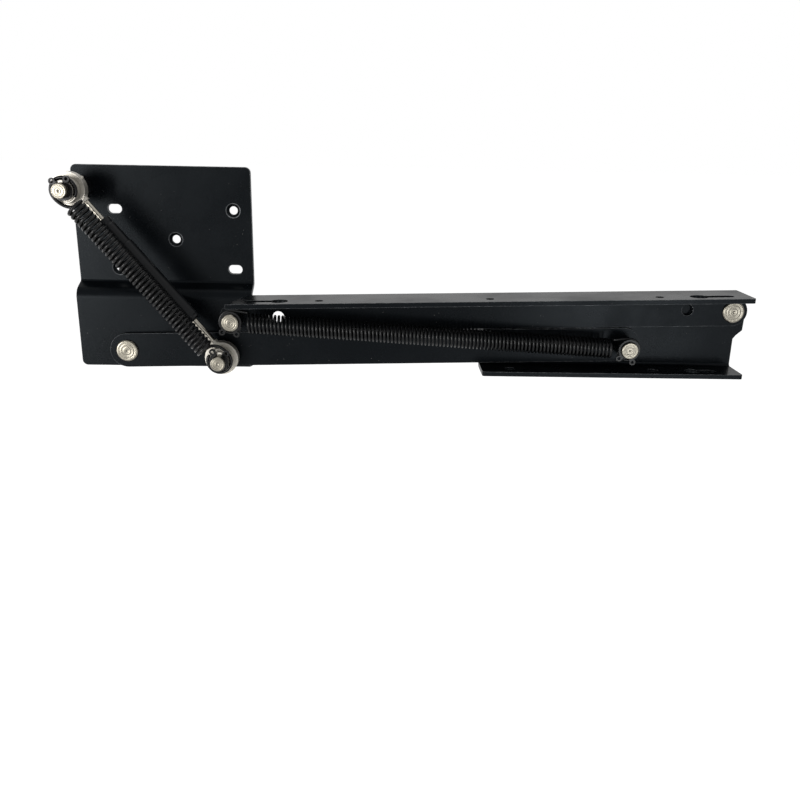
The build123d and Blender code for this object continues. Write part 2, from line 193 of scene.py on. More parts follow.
class Effect(ABC):
    """A shader node group with named sockets, built once and placed in many materials."""

    name: str
    inputs: dict[str, float]
    outputs: tuple[str, ...]

    @abstractmethod
    def wire(self, w: Wiring, given: bpy.types.Node, result: bpy.types.Node) -> None:
        """Fill the group, given its wiring, its input node and its output node."""

    def group(self) -> bpy.types.NodeTree:
        """Build the group the first time it is asked for, and hand back the same one later.

        Returns:
            The node group.
        """
        if self.name in bpy.data.node_groups:
            return bpy.data.node_groups[self.name]
        tree = bpy.data.node_groups.new(self.name, "ShaderNodeTree")
        for label, value in self.inputs.items():
            socket = tree.interface.new_socket(label, in_out="INPUT", socket_type=SOCKET)
            socket.default_value = value
        for label in self.outputs:
            tree.interface.new_socket(label, in_out="OUTPUT", socket_type=SOCKET)
        w = Wiring(tree)
        self.wire(w, w.add("NodeGroupInput"), w.add("NodeGroupOutput"))
        return tree

    def place(self, w: Wiring, values: dict[str, float]) -> bpy.types.Node:
        """Place the effect in a material with the material's own values."""
        return w.feed(w.add("ShaderNodeGroup", node_tree=self.group()), values)


class FineGrain(Effect):
    """Pebbled skin of a cured coat or a cast surface, with a mottle that changes slowly."""

    name = "fine_grain"
    inputs = {"Pebble Scale": 1400.0, "Skin Scale": 4200.0, "Mottle Scale": 30.0}
    outputs = ("Height", "Mottle")
    pebble_layers = (2.0, 0.5)
    skin_layers = (3.0, 0.6)
    cloud_layers = (4.0, 0.6)
    pebble_share = 0.7
    skin_share = 0.3
    mottle_step = (0.35, 0.68)

    def wire(self, w: Wiring, given: bpy.types.Node, result: bpy.types.Node) -> None:
        """Fill the group: two grains for the height, and a cloud for the mottle.

        Args:
            w: The group's wiring.
            given: Its input node.
            result: Its output node.
        """
        here = w.here()
        pebble = w.noise(here, given.outputs["Pebble Scale"], *self.pebble_layers)
        skin = w.noise(here, given.outputs["Skin Scale"], *self.skin_layers)
        height = w.maths("ADD", w.maths("MULTIPLY", pebble, self.pebble_share),
                         w.maths("MULTIPLY", skin, self.skin_share))
        w.join(height, result.inputs["Height"])
        cloud = w.noise(here, given.outputs["Mottle Scale"], *self.cloud_layers)
        w.join(w.span(cloud, *self.mottle_step), result.inputs["Mottle"])


class EdgeWearAndHighlight(Effect):
    """Mask of the edges for wear and a painted highlight: marked rims and places where the surface
    turns within a short reach.
    """

    name = "edge_wear_and_highlight"
    inputs = {"Reach": 0.0005, "Patch Scale": 260.0, "Amount": 0.6}
    outputs = ("Worn And Lit",)
    turn_step = (0.02, 0.16)
    patch_layers = (5.0, 0.7)
    patch_step = (0.42, 0.66)
    even_share = 0.35
    patch_share = 0.65

    def wire(self, w: Wiring, given: bpy.types.Node, result: bpy.types.Node) -> None:
        """Fill the group: how far the surface turns, or its rim, broken up in patches.

        Args:
            w: The group's wiring.
            given: Its input node.
            result: Its output node.
        """
        soft = w.add("ShaderNodeBevel", samples=4)
        w.feed(soft, {"Radius": given.outputs["Reach"]})
        flat = w.add("ShaderNodeNewGeometry").outputs["Normal"]
        same = w.vector("DOT_PRODUCT", soft.outputs["Normal"], flat, out="Value")
        turn = w.maths("SUBTRACT", 1.0, same, clamp=True)
        cloud = w.noise(w.here(), given.outputs["Patch Scale"], *self.patch_layers)
        patch = w.span(cloud, *self.patch_step)
        rim = w.add("ShaderNodeAttribute", attribute_name=RIM).outputs["Fac"]
        edge = w.maths("MAXIMUM", w.span(turn, *self.turn_step), rim)
        share = w.maths("ADD", self.even_share, w.maths("MULTIPLY", patch, self.patch_share))
        spread = w.maths("MULTIPLY", edge, share)
        # Mask for the edge colour: rubbed wear on the metals, a painted highlight on the black
        # powder coat.
        worn_and_lit = w.maths("MULTIPLY", spread, given.outputs["Amount"], clamp=True)
        w.join(worn_and_lit, result.inputs["Worn And Lit"])


class HandlingHaze(Effect):
    """Dulled patches, wide and soft, and small pale specks of dust from handling."""

    name = "handling_haze"
    inputs = {"Haze Scale": 18.0, "Speck Scale": 420.0}
    outputs = ("Haze", "Speck")
    haze_layers = (5.0, 0.65)
    haze_step = (0.4, 0.72)
    speck_step = (0.03, 0.11)
    field_scale = 90.0
    field_layers = (2.0, 0.55)
    field_step = (0.56, 0.66)

    def wire(self, w: Wiring, given: bpy.types.Node, result: bpy.types.Node) -> None:
        """Fill the group: a cloud for the haze, and dots that show in some fields alone.

        Args:
            w: The group's wiring.
            given: Its input node.
            result: Its output node.
        """
        here = w.here()
        wide = w.noise(here, given.outputs["Haze Scale"], *self.haze_layers)
        w.join(w.span(wide, *self.haze_step), result.inputs["Haze"])
        dots = w.add("ShaderNodeTexVoronoi", feature="F1")
        w.feed(dots, {"Vector": here, "Scale": given.outputs["Speck Scale"]})
        near = w.span(dots.outputs["Distance"], *self.speck_step, start=1.0, end=0.0)
        cloud = w.noise(here, self.field_scale, *self.field_layers)
        rare = w.span(cloud, *self.field_step)
        w.join(w.maths("MULTIPLY", near, rare), result.inputs["Speck"])


class TurnedRings(Effect):
    """Fine rings that a lathe tool leaves round a piece's own axis, which is its local Y."""

    name = "turned_rings"
    inputs = {"Pitch": 0.0007}
    outputs = ("Height", "Ring")
    across_axis = (1.0, 0.0, 1.0)
    waver_scale = 320.0
    waver_layers = (2.0, 0.55)
    waver_reach = 0.00035
    ring_step = (0.25, 0.95)

    def wire(self, w: Wiring, given: bpy.types.Node, result: bpy.types.Node) -> None:
        """Fill the group: a wave over the distance from the axis, a little uneven.

        Args:
            w: The group's wiring.
            given: Its input node.
            result: Its output node.
        """
        here = w.here()
        flat = w.vector("MULTIPLY", here, self.across_axis)
        radius = w.vector("LENGTH", flat, out="Value")
        cloud = w.noise(here, self.waver_scale, *self.waver_layers)
        waver = w.maths("MULTIPLY", cloud, self.waver_reach)
        phase = w.maths("DIVIDE", w.maths("ADD", radius, waver), given.outputs["Pitch"])
        wave = w.maths("SINE", w.maths("MULTIPLY", phase, 2 * math.pi))
        height = w.maths("ADD", 0.5, w.maths("MULTIPLY", wave, 0.5))
        w.join(height, result.inputs["Height"])
        w.join(w.span(height, *self.ring_step), result.inputs["Ring"])


# How strongly the shared effects act in every finish. The depth is in metres.
HAZE_ROUGHNESS = 0.10
RING_TINT = 0.22
RING_HEIGHT = 1.6
DUST = (0.32, 0.31, 0.29, 1)
DUST_ROUGHNESS = 0.3
GRAIN_DEPTH = 0.0004
SKIN_TO_PEBBLE = 3


@dataclass(frozen=True)
class Finish:
    """A finish: its slot in the record, its colours, its gloss, and its edge colour, which is wear
    on the metals and a painted highlight on the black powder coat.

    The reach of the edge wear and painted highlight, and the pitch of the rings, are in metres.
    """

    label: str
    slot: Slot
    colour: Colour
    second: Colour
    worn_and_lit: Colour
    metallic: float
    roughness: float
    polish: float
    bump: float
    pebble: float
    wear_and_highlight: float
    level: float = 0.5
    reach: float = 0.0005
    rings: float = 0.0
    speck: float = 0.3
    shine: Colour = (1.0, 1.0, 1.0)

    def material(self) -> bpy.types.Material:
        """Build this finish's material, or hand back the one already built.

        Returns:
            A node material whose colour, roughness and bump vary over the surface.
        """
        if self.label in bpy.data.materials:
            return bpy.data.materials[self.label]
        made = bpy.data.materials.new(self.label)
        made.use_nodes = True
        w = Wiring(made.node_tree)
        shader = made.node_tree.nodes["Principled BSDF"]
        skin = self.pebble * SKIN_TO_PEBBLE
        grain = FineGrain().place(w, {"Pebble Scale": self.pebble, "Skin Scale": skin})
        worn_and_lit = EdgeWearAndHighlight().place(w, {"Reach": self.reach, "Amount": self.wear_and_highlight}).outputs["Worn And Lit"]
        haze = HandlingHaze().place(w, {})
        base = w.tint(grain.outputs["Mottle"], (*self.colour, 1), (*self.second, 1))
        dulled = w.maths("MULTIPLY", haze.outputs["Haze"], HAZE_ROUGHNESS)
        rough = w.maths("ADD", self.roughness, dulled)
        height = grain.outputs["Height"]
        if self.rings:
            turned = TurnedRings().place(w, {"Pitch": self.rings})
            ring = w.maths("MULTIPLY", turned.outputs["Ring"], RING_TINT)
            base = w.tint(ring, base, (*self.worn_and_lit, 1))
            ridge = w.maths("MULTIPLY", turned.outputs["Height"], RING_HEIGHT)
            height = w.maths("ADD", height, ridge)
        # Edges take the worn colour; on the black powder coat this pale colour is a painted
        # highlight along the rounded edges.
        base = w.tint(worn_and_lit, base, (*self.worn_and_lit, 1))
        dust = w.maths("MULTIPLY", haze.outputs["Speck"], self.speck)
        base = w.tint(dust, base, DUST)
        rough = w.maths("SUBTRACT", rough, w.maths("MULTIPLY", worn_and_lit, self.polish), clamp=True)
        bump = w.feed(w.add("ShaderNodeBump"),
                      {"Height": height, "Strength": self.bump, "Distance": GRAIN_DEPTH})
        rough = w.maths("ADD", rough, w.maths("MULTIPLY", dust, DUST_ROUGHNESS), clamp=True)
        w.feed(shader, {
            "Base Color": base,
            "Roughness": rough,
            "Normal": bump.outputs["Normal"],
            "Metallic": self.metallic,
            "Specular IOR Level": self.level,
            "Specular Tint": (*self.shine, 1),
        })
        return made

    def cover(self, piece: bpy.types.Object) -> None:
        """Give this finish to a piece or a kept node, in place of what it has."""
        piece.data.materials.clear()
        piece.data.materials.append(self.material())

    def dress(self, piece: bpy.types.Object) -> bpy.types.Object:
        """Give this finish to a new piece."""
        self.cover(piece)
        return piece


# The powder coat's pale worn colour is a painted highlight: light lines on the rounded sheet edges,
# as if they caught the light.
POWDER_COAT = Finish(
    label="satin_powder_coat", slot=Slot.POWDER,
    colour=(0.0009, 0.0013, 0.0018), second=(0.0019, 0.0024, 0.0030), worn_and_lit=(0.125, 0.130, 0.136),
    metallic=0.0, roughness=0.26, polish=0.08, level=0.060, shine=(0.84, 0.93, 1.0),
    bump=0.04, pebble=1100.0, wear_and_highlight=0.9, reach=0.00045,
)
TURNED_STEEL = Finish(
    label="turned_plated_steel", slot=Slot.PLATED,
    colour=(0.112, 0.104, 0.085), second=(0.155, 0.143, 0.118), worn_and_lit=(0.40, 0.38, 0.33),
    metallic=1.0, roughness=0.25, polish=0.06,
    bump=0.09, pebble=2200.0, wear_and_highlight=0.6, reach=0.0003, rings=0.00085, speck=0.1,
)
ROD_STEEL = Finish(
    label="drawn_plated_steel", slot=Slot.PLATED,
    colour=(0.25, 0.235, 0.20), second=(0.33, 0.31, 0.27), worn_and_lit=(0.60, 0.58, 0.53),
    metallic=1.0, roughness=0.20, polish=0.05,
    bump=0.05, pebble=2600.0, wear_and_highlight=0.3, reach=0.0002, speck=0.0,
)
CAST_ZINC = Finish(
    label="grey_cast_zinc", slot=Slot.ZINC,
    colour=(0.280, 0.266, 0.236), second=(0.360, 0.344, 0.310), worn_and_lit=(0.50, 0.48, 0.44),
    metallic=0.75, roughness=0.42, polish=0.10,
    bump=0.14, pebble=900.0, wear_and_highlight=0.5, speck=0.15,
)
SPRING_BLACK = Finish(
    label="oiled_black_oxide", slot=Slot.OXIDE,
    colour=(0.0020, 0.0022, 0.0025), second=(0.0040, 0.0040, 0.0042), worn_and_lit=(0.035, 0.034, 0.033),
    metallic=0.0, roughness=0.24, polish=0.06, level=0.16,
    bump=0.05, pebble=1800.0, wear_and_highlight=0.25, reach=0.0002, speck=0.1,
)
DAMPER_PAINT = Finish(
    label="damper_satin_black", slot=Slot.DAMPER,
    colour=(0.0016, 0.0021, 0.0027), second=(0.0030, 0.0036, 0.0044), worn_and_lit=(0.05, 0.05, 0.05),
    metallic=0.0, roughness=0.32, polish=0.05, level=0.15,
    bump=0.03, pebble=1500.0, wear_and_highlight=0.3, reach=0.0004,
)
LINER = Finish(
    label="moulded_liner", slot=Slot.LINER,
    colour=(0.018, 0.018, 0.019), second=(0.028, 0.028, 0.029), worn_and_lit=(0.06, 0.06, 0.06),
    metallic=0.0, roughness=0.48, polish=0.0, level=0.4,
    bump=0.06, pebble=1300.0, wear_and_highlight=0.1,
)


def finished(name: str, body: str, finish: Finish, *nodes: str) -> bpy.types.Object:
    """Dress a mesh that is in place, let it ride on its body, and let it stand for its nodes.

    Args:
        name: The object's name.
        body: The CAD body that it moves with.
        finish: Its finish.
        nodes: The CAD nodes that it stands for.

    Returns:
        The object.
    """
    piece = finish.dress(bpy.data.objects[name])
    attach(piece, body)
    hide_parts(*nodes)
    return piece


def as_object(name: str, mesh: bmesh.types.BMesh, smooth_angle: float) -> bpy.types.Object:
    """Turn mesh data in metres into an object whose flat faces and small rounds shade cleanly.

    Args:
        name: The object's name.
        mesh: The mesh data, which is freed.
        smooth_angle: Edges sharper than this, in degrees, stay sharp.

    Returns:
        The new object.
    """
    bmesh.ops.recalc_face_normals(mesh, faces=mesh.faces)
    data = bpy.data.meshes.new(name)
    mesh.to_mesh(data)
    mesh.free()
    data.shade_smooth()
    data.set_sharp_from_angle(angle=math.radians(smooth_angle))
    made = bpy.data.objects.new(name, data)
    bpy.context.scene.collection.objects.link(made)
    shading = made.modifiers.new("even_shading", "WEIGHTED_NORMAL")
    shading.keep_sharp = True
    return made


def rounded_copy(name: str, node: str, radius: float) -> bpy.types.Object:
    """New piece in a node's exact place with its corners broken by a small round.

    The round's faces are marked, so that a finish can lay its edge colour there: wear, and on the
    powder coat a painted highlight.

    Args:
        name: The new object's name.
        node: The CAD node to follow.
        radius: The round, in millimetres.

    Returns:
        The new object.
    """
    same_place, flat, corner = 2e-6, math.radians(0.5), math.radians(25.0)
    mesh = bmesh.new()
    mesh.from_mesh(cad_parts[node].data)
    bmesh.ops.remove_doubles(mesh, verts=mesh.verts, dist=same_place)
    bmesh.ops.dissolve_limit(mesh, angle_limit=flat, verts=mesh.verts, edges=mesh.edges)
    corners = [e for e in mesh.edges if len(e.link_faces) == 2 and e.calc_face_angle(0.0) > corner]
    rim = mesh.faces.layers.float.new(RIM)
    rounds = bmesh.ops.bevel(mesh, geom=corners, offset=radius * MM, offset_type="OFFSET",
                             segments=3, profile=0.5, affect="EDGES", clamp_overlap=True)
    # The marked rounds take the edge colour, which is a painted highlight on the powder-coated
    # sheets.
    for face in rounds["faces"]:
        face[rim] = 1.0
    return as_object(name, mesh, smooth_angle=40.0)


def turned_piece(name: str, profile: Profile, pose: Matrix, sides: int = 72) -> bpy.types.Object:
    """Lathe a closed profile round the local Y axis.

    Args:
        name: The new object's name.
        profile: Points of (distance along the axis, radius), in millimetres, from end to end.
        pose: Where the local axes lie, in metres.
        sides: Facets round the piece.

    Returns:
        The new object, with its origin on its axis.
    """
    mesh = bmesh.new()
    rings: list[list[bmesh.types.BMVert]] = []
    for along, radius in profile:
        if radius < ON_AXIS:
            rings.append([mesh.verts.new((0, along * MM, 0))])
            continue
        reach = radius * MM
        turns = (2 * math.pi * i / sides for i in range(sides))
        rings.append([mesh.verts.new((reach * math.cos(t), along * MM, reach * math.sin(t)))
                      for t in turns])
    for low, high in zip(rings, rings[1:]):
        for i in range(sides):
            j = (i + 1) % sides
            loop = [low[i % len(low)], low[j % len(low)], high[j % len(high)], high[i % len(high)]]
            mesh.faces.new(list(dict.fromkeys(loop)))
    if len(rings[0]) > 1:
        for i in range(sides):
            j = (i + 1) % sides
            mesh.faces.new([rings[-1][i], rings[-1][j], rings[0][j], rings[0][i]])
    made = as_object(name, mesh, smooth_angle=32.0)
    made.matrix_world = pose
    return made


def eased(points: Profile, radius: float, steps: int) -> Profile:
    """Profile with small arcs in place of its corners.

    Args:
        points: The sharp profile.
        radius: The arc's reach along each side, in millimetres.
        steps: Pieces in each arc.

    Returns:
        The eased profile. Its two end points stay where they are.
    """
    most_of_side = 0.45
    out = [points[0]]
    for before, here, after in zip(points, points[1:], points[2:]):
        a, b, c = (np.array(p, float) for p in (before, here, after))
        back, ahead = np.linalg.norm(a - b), np.linalg.norm(c - b)
        reach = min(radius, most_of_side * back, most_of_side * ahead)
        start = b + (a - b) / back * reach
        end = b + (c - b) / ahead * reach
        for i in range(steps + 1):
            t = i / steps
            out.append(tuple((1 - t) ** 2 * start + 2 * t * (1 - t) * b + t**2 * end))
    return out + [points[-1]]


def wire_mesh(path: np.ndarray, radius: float, sides: int) -> bmesh.types.BMesh:
    """Round wire along a path, with closed ends that draw in a little.

    Args:
        path: Points in millimetres.
        radius: The wire's radius, in millimetres.
        sides: Facets round the wire.

    Returns:
        Mesh data in metres.
    """
    end_share = 0.8
    runs = np.gradient(path, axis=0)
    runs /= np.linalg.norm(runs, axis=1)[:, None]
    side = np.cross(runs[0], (0.0, 1.0, 0.0))
    side /= np.linalg.norm(side)
    turns = [2 * math.pi * k / sides for k in range(sides)]
    mesh = bmesh.new()
    rings = []
    for i, (point, run) in enumerate(zip(path, runs)):
        side = side - run * side.dot(run)
        side /= np.linalg.norm(side)
        other = np.cross(run, side)
        here = radius * (end_share if i in (0, len(path) - 1) else 1.0)
        ring = (point + here * (math.cos(t) * side + math.sin(t) * other) for t in turns)
        rings.append([mesh.verts.new(place * MM) for place in ring])
    for low, high in zip(rings, rings[1:]):
        for k in range(sides):
            mesh.faces.new((low[k], low[(k + 1) % sides], high[(k + 1) % sides], high[k]))
    mesh.faces.new(rings[0])
    mesh.faces.new(rings[-1])
    return mesh


def pin_pose(at: Place) -> Matrix:
    """Local axes of a pin: Y along its depth, towards the viewer, from the panel's face."""
    return Matrix.Translation(Vector((at[0], 0, at[1])) * MM) @ Matrix.Rotation(math.pi, 4, "X")


@dataclass(frozen=True)
class Layout:
    """Places of the pivots and pins, as (X, Z), and depths of the sheets, in millimetres."""

    bar_pivot: Place = (-27.5, -60.0)
    arm_pivot: Place = (32.5, -40.5)
    bracket_pin: Place = (249.405079, -52.748985)
    leg_pivot: Place = (309.405079, -33.248985)
    anchor: Place = (-48.7, 27.0)
    drive: Place = (26.060198, -61.598505)
    plate_front: float = 2.5
    inner_back: float = 9.5
    outer_back: float = 12.5
    outer_front: float = 15.0
    damper_depth: float = 21.2
    damper_side: float = 2.3

    @property
    def damper_length(self) -> float:
        """Distance between the damper's two pins."""
        return math.dist(self.anchor, self.drive)

    @property
    def damper_turn(self) -> float:
        """Slope of the damper's line, in radians above +X."""
        return math.atan2(self.drive[1] - self.anchor[1], self.drive[0] - self.anchor[0])

    def anchor_pose(self, turn: float, aside: float) -> Matrix:
        """Local axes at the anchor pin, in the damper's plane: Y along a slope, X to the front.

        Args:
            turn: The slope, in radians above +X.
            aside: How far the line stands off the pin, in millimetres.

        Returns:
            The axes, in metres.
        """
        row = Vector((math.cos(turn), 0, math.sin(turn)))
        side = Vector((-math.sin(turn), 0, math.cos(turn)))
        middle = Vector((self.anchor[0], -self.damper_depth, self.anchor[1])) + side * aside
        axes = Matrix((row.cross(side), row, side)).transposed()
        return Matrix.Translation(middle * MM) @ axes.to_4x4()


LAYOUT = Layout()


@dataclass
class BrokenEdges:
    """Nodes that keep their place and outline, with their edges broken by a small round.

    The round is in millimetres, and each node has the body that it rides on.
    """

    edge_round: float
    kind: str
    finish: Finish
    bodies: dict[str, str]

    def build(self) -> list[bpy.types.Object]:
        """Make and dress each piece in its node's place.

        Returns:
            The new objects.
        """
        made = []
        for node, body in self.bodies.items():
            rounded_copy(f"{node}_{self.kind}", node, self.edge_round)
            made.append(finished(f"{node}_{self.kind}", body, self.finish, node))
        return made


@dataclass
class PressedSheets(BrokenEdges):
    """Plate, lower bar, seat arm and leg bracket: powder-coated sheets."""

    edge_round: float = 0.38
    kind: str = "sheet"
    finish: Finish = POWDER_COAT
    bodies: dict[str, str] = field(default_factory=lambda: {
        "mounting_plate": "plate",
        "lower_bar": "lower_bar",
        "seat_arm": "seat_arm",
        "leg_bracket": "leg_bracket",
    })


@dataclass
class Circlips(BrokenEdges):
    """Open black spring clips with holed lugs."""

    edge_round: float = 0.14
    kind: str = "clip"
    finish: Finish = SPRING_BLACK
    bodies: dict[str, str] = field(default_factory=lambda: {
        "arm_pivot_circlip": "plate",
        "bracket_pin_circlip": "lower_bar",
        "damper_anchor_circlip": "plate",
        "damper_drive_circlip": "lower_bar",
    })


@dataclass
class CastEyes(BrokenEdges):
    """The damper's two cast eyes."""

    edge_round: float = 0.35
    kind: str = "cast"
    finish: Finish = CAST_ZINC
    bodies: dict[str, str] = field(default_factory=lambda: {
        "damper_rod_eye": "damper_rod",
        "damper_base_eye": "damper_tube",
    })


@dataclass
class TurnedPins:
    """The rivets and pins: lathe-turned steel with ringed faces and a centre mark.

    Radii, and depths from the panel's face, are in millimetres.
    """

    shank: float = 4.0
    tail: float = 6.4
    tail_back: float = 7.4
    tail_overlap: float = 0.1
    rivet_head: float = 6.0
    rivet_front: float = 16.3
    spring_pin: float = 4.7
    spring_tip: float = 30.2
    spring_groove: Place = (27.5, 28.7)
    damper_pin: float = 4.0
    damper_tip: float = 36.4
    damper_groove: Place = (30.7, 31.9)
    groove_cut: float = 0.55
    collar: float = 6.2
    collar_front: float = 18.6
    collar_grip: float = 0.05
    chamfer: float = 0.5
    ring_shares: Place = (0.70, 0.42)
    ring_half: float = 0.28
    ring_floor: float = 0.14
    ring_depth: float = 0.04
    mark: float = 0.62
    mark_floor: float = 0.26
    mark_depth: float = 0.35
    ease: float = 0.12
    ease_steps: int = 2

    def face(self, front: float, radius: float) -> list[tuple[float, float]]:
        """Front face from its chamfer inwards: two shallow rings and a centre mark.

        Args:
            front: Depth of the face.
            radius: Radius at the chamfer's outer side.

        Returns:
            Profile points, ending on the axis.
        """
        points = [(front - self.chamfer, radius), (front, radius - self.chamfer)]
        floor = front - self.ring_depth
        for share in self.ring_shares:
            ring = radius * share
            points += [(front, ring + self.ring_half), (floor, ring + self.ring_floor),
                       (floor, ring - self.ring_floor), (front, ring - self.ring_half)]
        foot = front - self.mark_depth
        return points + [(front, self.mark), (foot, self.mark_floor), (foot, 0.0)]

    def tail_end(self, shank: float) -> list[tuple[float, float]]:
        """Profile points of an upset tail behind the plate, up to the shank."""
        back = LAYOUT.inner_back - self.tail_overlap
        return [(self.tail_back, 0), (self.tail_back, self.tail), (back, self.tail), (back, shank)]

    def grooved(self, radius: float, groove: Place, tip: float) -> list[tuple[float, float]]:
        """Profile points of a pin from its clip groove to its face.

        Args:
            radius: The pin's radius.
            groove: Depths of the groove's two walls.
            tip: Depth of the face.

        Returns:
            Profile points, ending on the axis.
        """
        low, high = groove
        cut = radius - self.groove_cut
        return [(low, radius), (low, cut), (high, cut), (high, radius), *self.face(tip, radius)]

    def rivet(self) -> Profile:
        """Profile of a headed rivet, from its upset tail to its head.

        Returns:
            Profile points, ending on the axis.
        """
        front = LAYOUT.outer_front
        return [*self.tail_end(self.shank), (front, self.shank), (front, self.rivet_head),
                *self.face(self.rivet_front, self.rivet_head)]

    def long_pin(self) -> Profile:
        """Profile of a pivot pin with its clip groove."""
        front = self.grooved(self.spring_pin, self.spring_groove, self.spring_tip)
        return [*self.tail_end(self.spring_pin), *front]

    def damper_post(self, back: float) -> Profile:
        """Profile of a damper pin from its riveted end."""
        front = self.grooved(self.damper_pin, self.damper_groove, self.damper_tip)
        return [(back, 0), (back, self.damper_pin), *front]

    def collar_ring(self, seat: float) -> Profile:
        """Profile of the blackened collar between a sheet and a damper eye."""
        inner, front = self.damper_pin - self.collar_grip, self.collar_front
        return [(seat, inner), (seat, self.collar), (front, self.collar), (front, inner)]

    def build(self) -> list[bpy.types.Object]:
        """Turn the six pins and the two collars.

        Returns:
            The new objects.
        """
        steel, black = ("turned", TURNED_STEEL), ("collar", SPRING_BLACK)
        post, ring = self.damper_post, self.collar_ring
        pins = [
            ("bar_pivot_rivet", steel, "plate", LAYOUT.bar_pivot, self.rivet()),
            ("leg_pivot_rivet", steel, "seat_arm", LAYOUT.leg_pivot, self.rivet()),
            ("arm_pivot_pin", steel, "plate", LAYOUT.arm_pivot, self.long_pin()),
            ("bracket_pin", steel, "lower_bar", LAYOUT.bracket_pin, self.long_pin()),
            ("damper_anchor_pin", steel, "plate", LAYOUT.anchor, post(0.0)),
            ("damper_anchor_pin", black, "plate", LAYOUT.anchor, ring(LAYOUT.plate_front)),
            ("damper_drive_pin", steel, "lower_bar", LAYOUT.drive, post(LAYOUT.outer_back)),
            ("damper_drive_pin", black, "lower_bar", LAYOUT.drive, ring(LAYOUT.outer_front)),
        ]
        made = []
        for node, (kind, finish), body, at, profile in pins:
            turned_piece(f"{node}_{kind}", eased(profile, self.ease, self.ease_steps), pin_pose(at))
            made.append(finished(f"{node}_{kind}", body, finish, node))
        return made


@dataclass
class Drums:
    """Grey cast drums in front of the damper's eyes, with spigots for the short spring.

    Radii, and depths from the panel's face, are in millimetres.
    """

    radius: float = 6.8
    back: float = 23.8
    front: float = 28.5
    spigot: float = 5.2
    spigot_front: float = 30.7
    bore: float = 4.05
    step_depth: float = 0.35
    rim_top: float = 0.8
    rim_foot: float = 1.0
    ease: float = 0.45
    ease_steps: int = 4
    sides: int = 96

    def build(self) -> list[bpy.types.Object]:
        """Turn both drums, with a shallow step in the front face.

        Returns:
            The new objects.
        """
        step = self.front - self.step_depth
        sharp = [(self.back, self.bore), (self.back, self.radius), (self.front, self.radius),
                 (self.front, self.radius - self.rim_top), (step, self.radius - self.rim_foot),
                 (step, self.spigot), (self.spigot_front, self.spigot),
                 (self.spigot_front, self.bore)]
        profile = eased(sharp, self.ease, self.ease_steps)
        made = []
        for node, body, at in (("damper_anchor_drum", "plate", LAYOUT.anchor),
                               ("damper_drive_drum", "lower_bar", LAYOUT.drive)):
            turned_piece(f"{node}_turned", profile, pin_pose(at), self.sides)
            made.append(finished(f"{node}_turned", body, CAST_ZINC, node))
        return made


